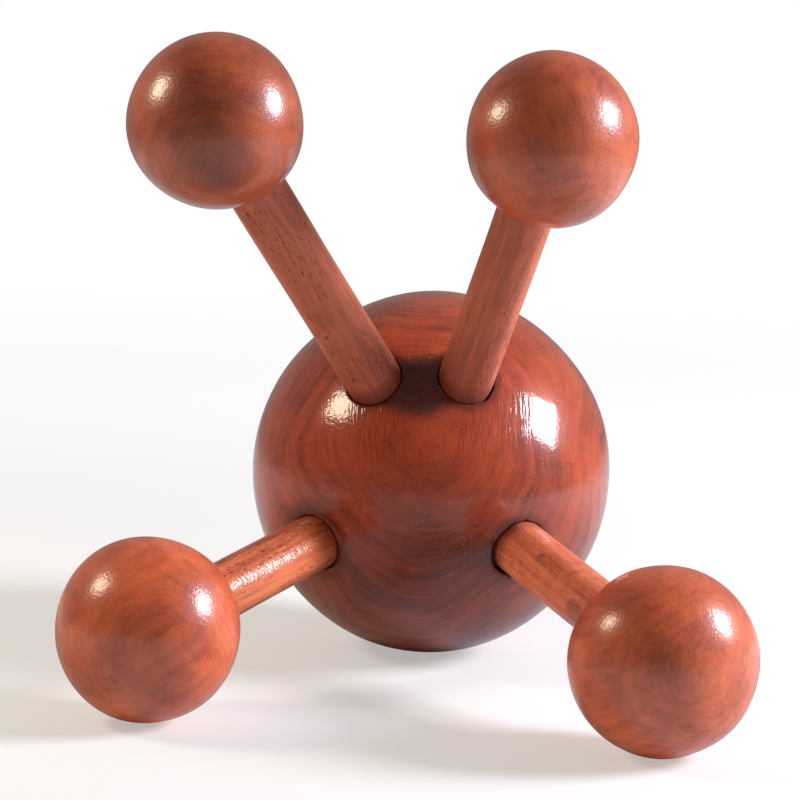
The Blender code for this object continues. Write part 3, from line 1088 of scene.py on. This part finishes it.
def dried_glue(name):
    """Brown glue that has set in the gap, glossy and lumpy."""
    s = Shader(name)
    lumps = s.noise(s.node("TexCoord").outputs["Object"], GLUE_LUMPS)
    return s.finish(
        Base_Color=s.mix(s.remap(lumps, *GLUE_SPAN), GLUE_DARK, GLUE_BROWN),
        Roughness=s.remap(lumps, *MIDDLING, *GLUE_ROUGH),
        Normal=s.bump(lumps, GLUE_DEPTH),
    )


def floor_material():
    """A plain pale floor that runs out into the pale surroundings."""
    s = Shader("floor")
    place = s.node("TexCoord").outputs["Object"]
    far = s.vector("LENGTH", place, output="Value")
    rays = s.node("LightPath").outputs
    lift = s.times(rays["Is Camera Ray"], s.remap(far, *FLOOR_LIFT))
    shade = s.times(rays["Is Glossy Ray"], s.remap(far, *FLOOR_SHADE))
    s.finish(
        Base_Color=FLOOR_COLOUR,
        Emission_Color=FLOOR_GLOW_COLOUR,
        Roughness=FLOOR_ROUGH,
        Specular_IOR_Level=FLOOR_SHINE,
        Emission_Strength=s.math("SUBTRACT", s.plus(FLOOR_GLOW, lift), shade),
    )
    clear = s.node("BsdfTransparent").outputs[0]
    gone = s.remap(far, *FLOOR_CLEAR)
    both = s.node("MixShader", {0: gone, 1: s.bsdf.outputs[0], 2: clear})
    s.put(s.surface, both.outputs[0])
    return s.material


# ---- the studio


def make_floor():
    _, points = circle(FLOOR_AROUND)
    rings = [points * size for size in FLOOR_RINGS]
    faces = [(0, 1 + i, 1 + (i + 1) % FLOOR_AROUND) for i in range(FLOOR_AROUND)]
    for r in range(len(FLOOR_RINGS) - 1):
        inner = 1 + r * FLOOR_AROUND
        faces += joined(inner, inner + FLOOR_AROUND, FLOOR_AROUND)
    return new_object("floor", np.vstack([[(0, 0, 0)], *rings]), faces, [floor_material()])


def studio_world():
    """White all round but for the dark room behind the camera, which keeps the lacquer deep."""
    world = bpy.data.worlds.new("studio")
    bpy.context.scene.world = world
    world.use_nodes = True
    s = Nodes(world.node_tree)
    way = s.node("TexCoord").outputs["Generated"]
    room = s.remap(s.vector("DOT_PRODUCT", way, ROOM_SIDE, "Value"), *ROOM_FADE)
    horizon = s.remap(s.node("SeparateXYZ", {0: way}).outputs["Z"], *HORIZON_FADE)
    rays = s.node("LightPath").outputs
    shade = s.times(rays["Is Glossy Ray"], -GLOSSY_SHADE)
    level = s.times(s.math("MAXIMUM", room, horizon), s.plus(shade, 1.0))
    lit = s.node("Background", {"Color": s.grey(level), "Strength": WORLD_STRENGTH})
    white = s.node("Background", {"Color": (1.0, 1.0, 1.0, 1), "Strength": 1.0})
    both = s.node(
        "MixShader", {0: rays["Is Camera Ray"], 1: lit.outputs[0], 2: white.outputs[0]}
    )
    s.node("OutputWorld", {"Surface": both.outputs[0]})


def facing(right, up, back):
    """A rotation that turns x, y and z to right, up and back."""
    return Matrix((right, up, back)).transposed().to_quaternion()


def hang(lamp, middle):
    """A flat lamp that faces middle and that the camera doesn't see."""
    data = bpy.data.lights.new(lamp.name, "AREA")
    data.shape = "RECTANGLE"
    data.size, data.size_y = lamp.width, lamp.height
    data.color = lamp.colour
    data.energy = lamp.radiance * math.pi * lamp.width * lamp.height
    obj = linked(lamp.name, data)
    obj.location = middle + seen(*lamp.place)
    back = seen(*lamp.place).normalized()
    side = seen(*lamp.top).cross(back).normalized()
    obj.rotation_mode = "QUATERNION"
    obj.rotation_quaternion = facing(side, back.cross(side), back)
    obj.visible_camera = False


def place_camera(middle):
    data = bpy.data.cameras.new("camera")
    data.lens = LENS_MM
    data.sensor_width = SENSOR_MM
    data.clip_start, data.clip_end = CLIP_NEAR, CLIP_FAR
    obj = linked("camera", data)
    obj.rotation_mode = "QUATERNION"
    obj.location = middle + CAMERA_FROM_BALL
    obj.rotation_quaternion = facing(VIEW_RIGHT, VIEW_UP, -VIEW_FORWARD)
    bpy.context.scene.camera = obj


# ---- the scene

low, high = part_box("grip_ball")
ball = Ball((np.array(low) + np.array(high)) / 2, (np.array(high) - np.array(low)) / 2)
legs = [read_leg(name, ball.centre) for name in LEGS]

ball_lacquer = wood("ball_lacquer", BALL_LOOK, BALL_BLANK)
knob_lacquers = [
    wood("knob_lacquer_" + leg.name, toned(KNOB_LOOK, KNOB_TONES[leg.name]), KNOB_BLANK + i)
    for i, leg in enumerate(legs)
]
peg_woods = [
    wood("peg_wood_" + leg.name, PEG_LOOKS[leg.name], PEG_BLANK + i)
    for i, leg in enumerate(legs)
]
bored = bored_wood("bored_wood")
glue = dried_glue("dried_glue")

finish_ball(ball, legs, ball_lacquer, bored)
for leg, knob_lacquer, peg_wood in zip(legs, knob_lacquers, peg_woods):
    finish_knob(leg, knob_lacquer, bored)
    finish_peg(leg, ball, peg_wood)
    finish_glue(leg, ball, glue)

floor = make_floor()
floor.location = (0, 0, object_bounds()[0].z)
studio_world()
hang(WINDOW, Vector(ball.centre))
hang(ROOM_LAMP, Vector(ball.centre))
place_camera(Vector(ball.centre))
bpy.context.scene.view_settings.view_transform = "Standard"
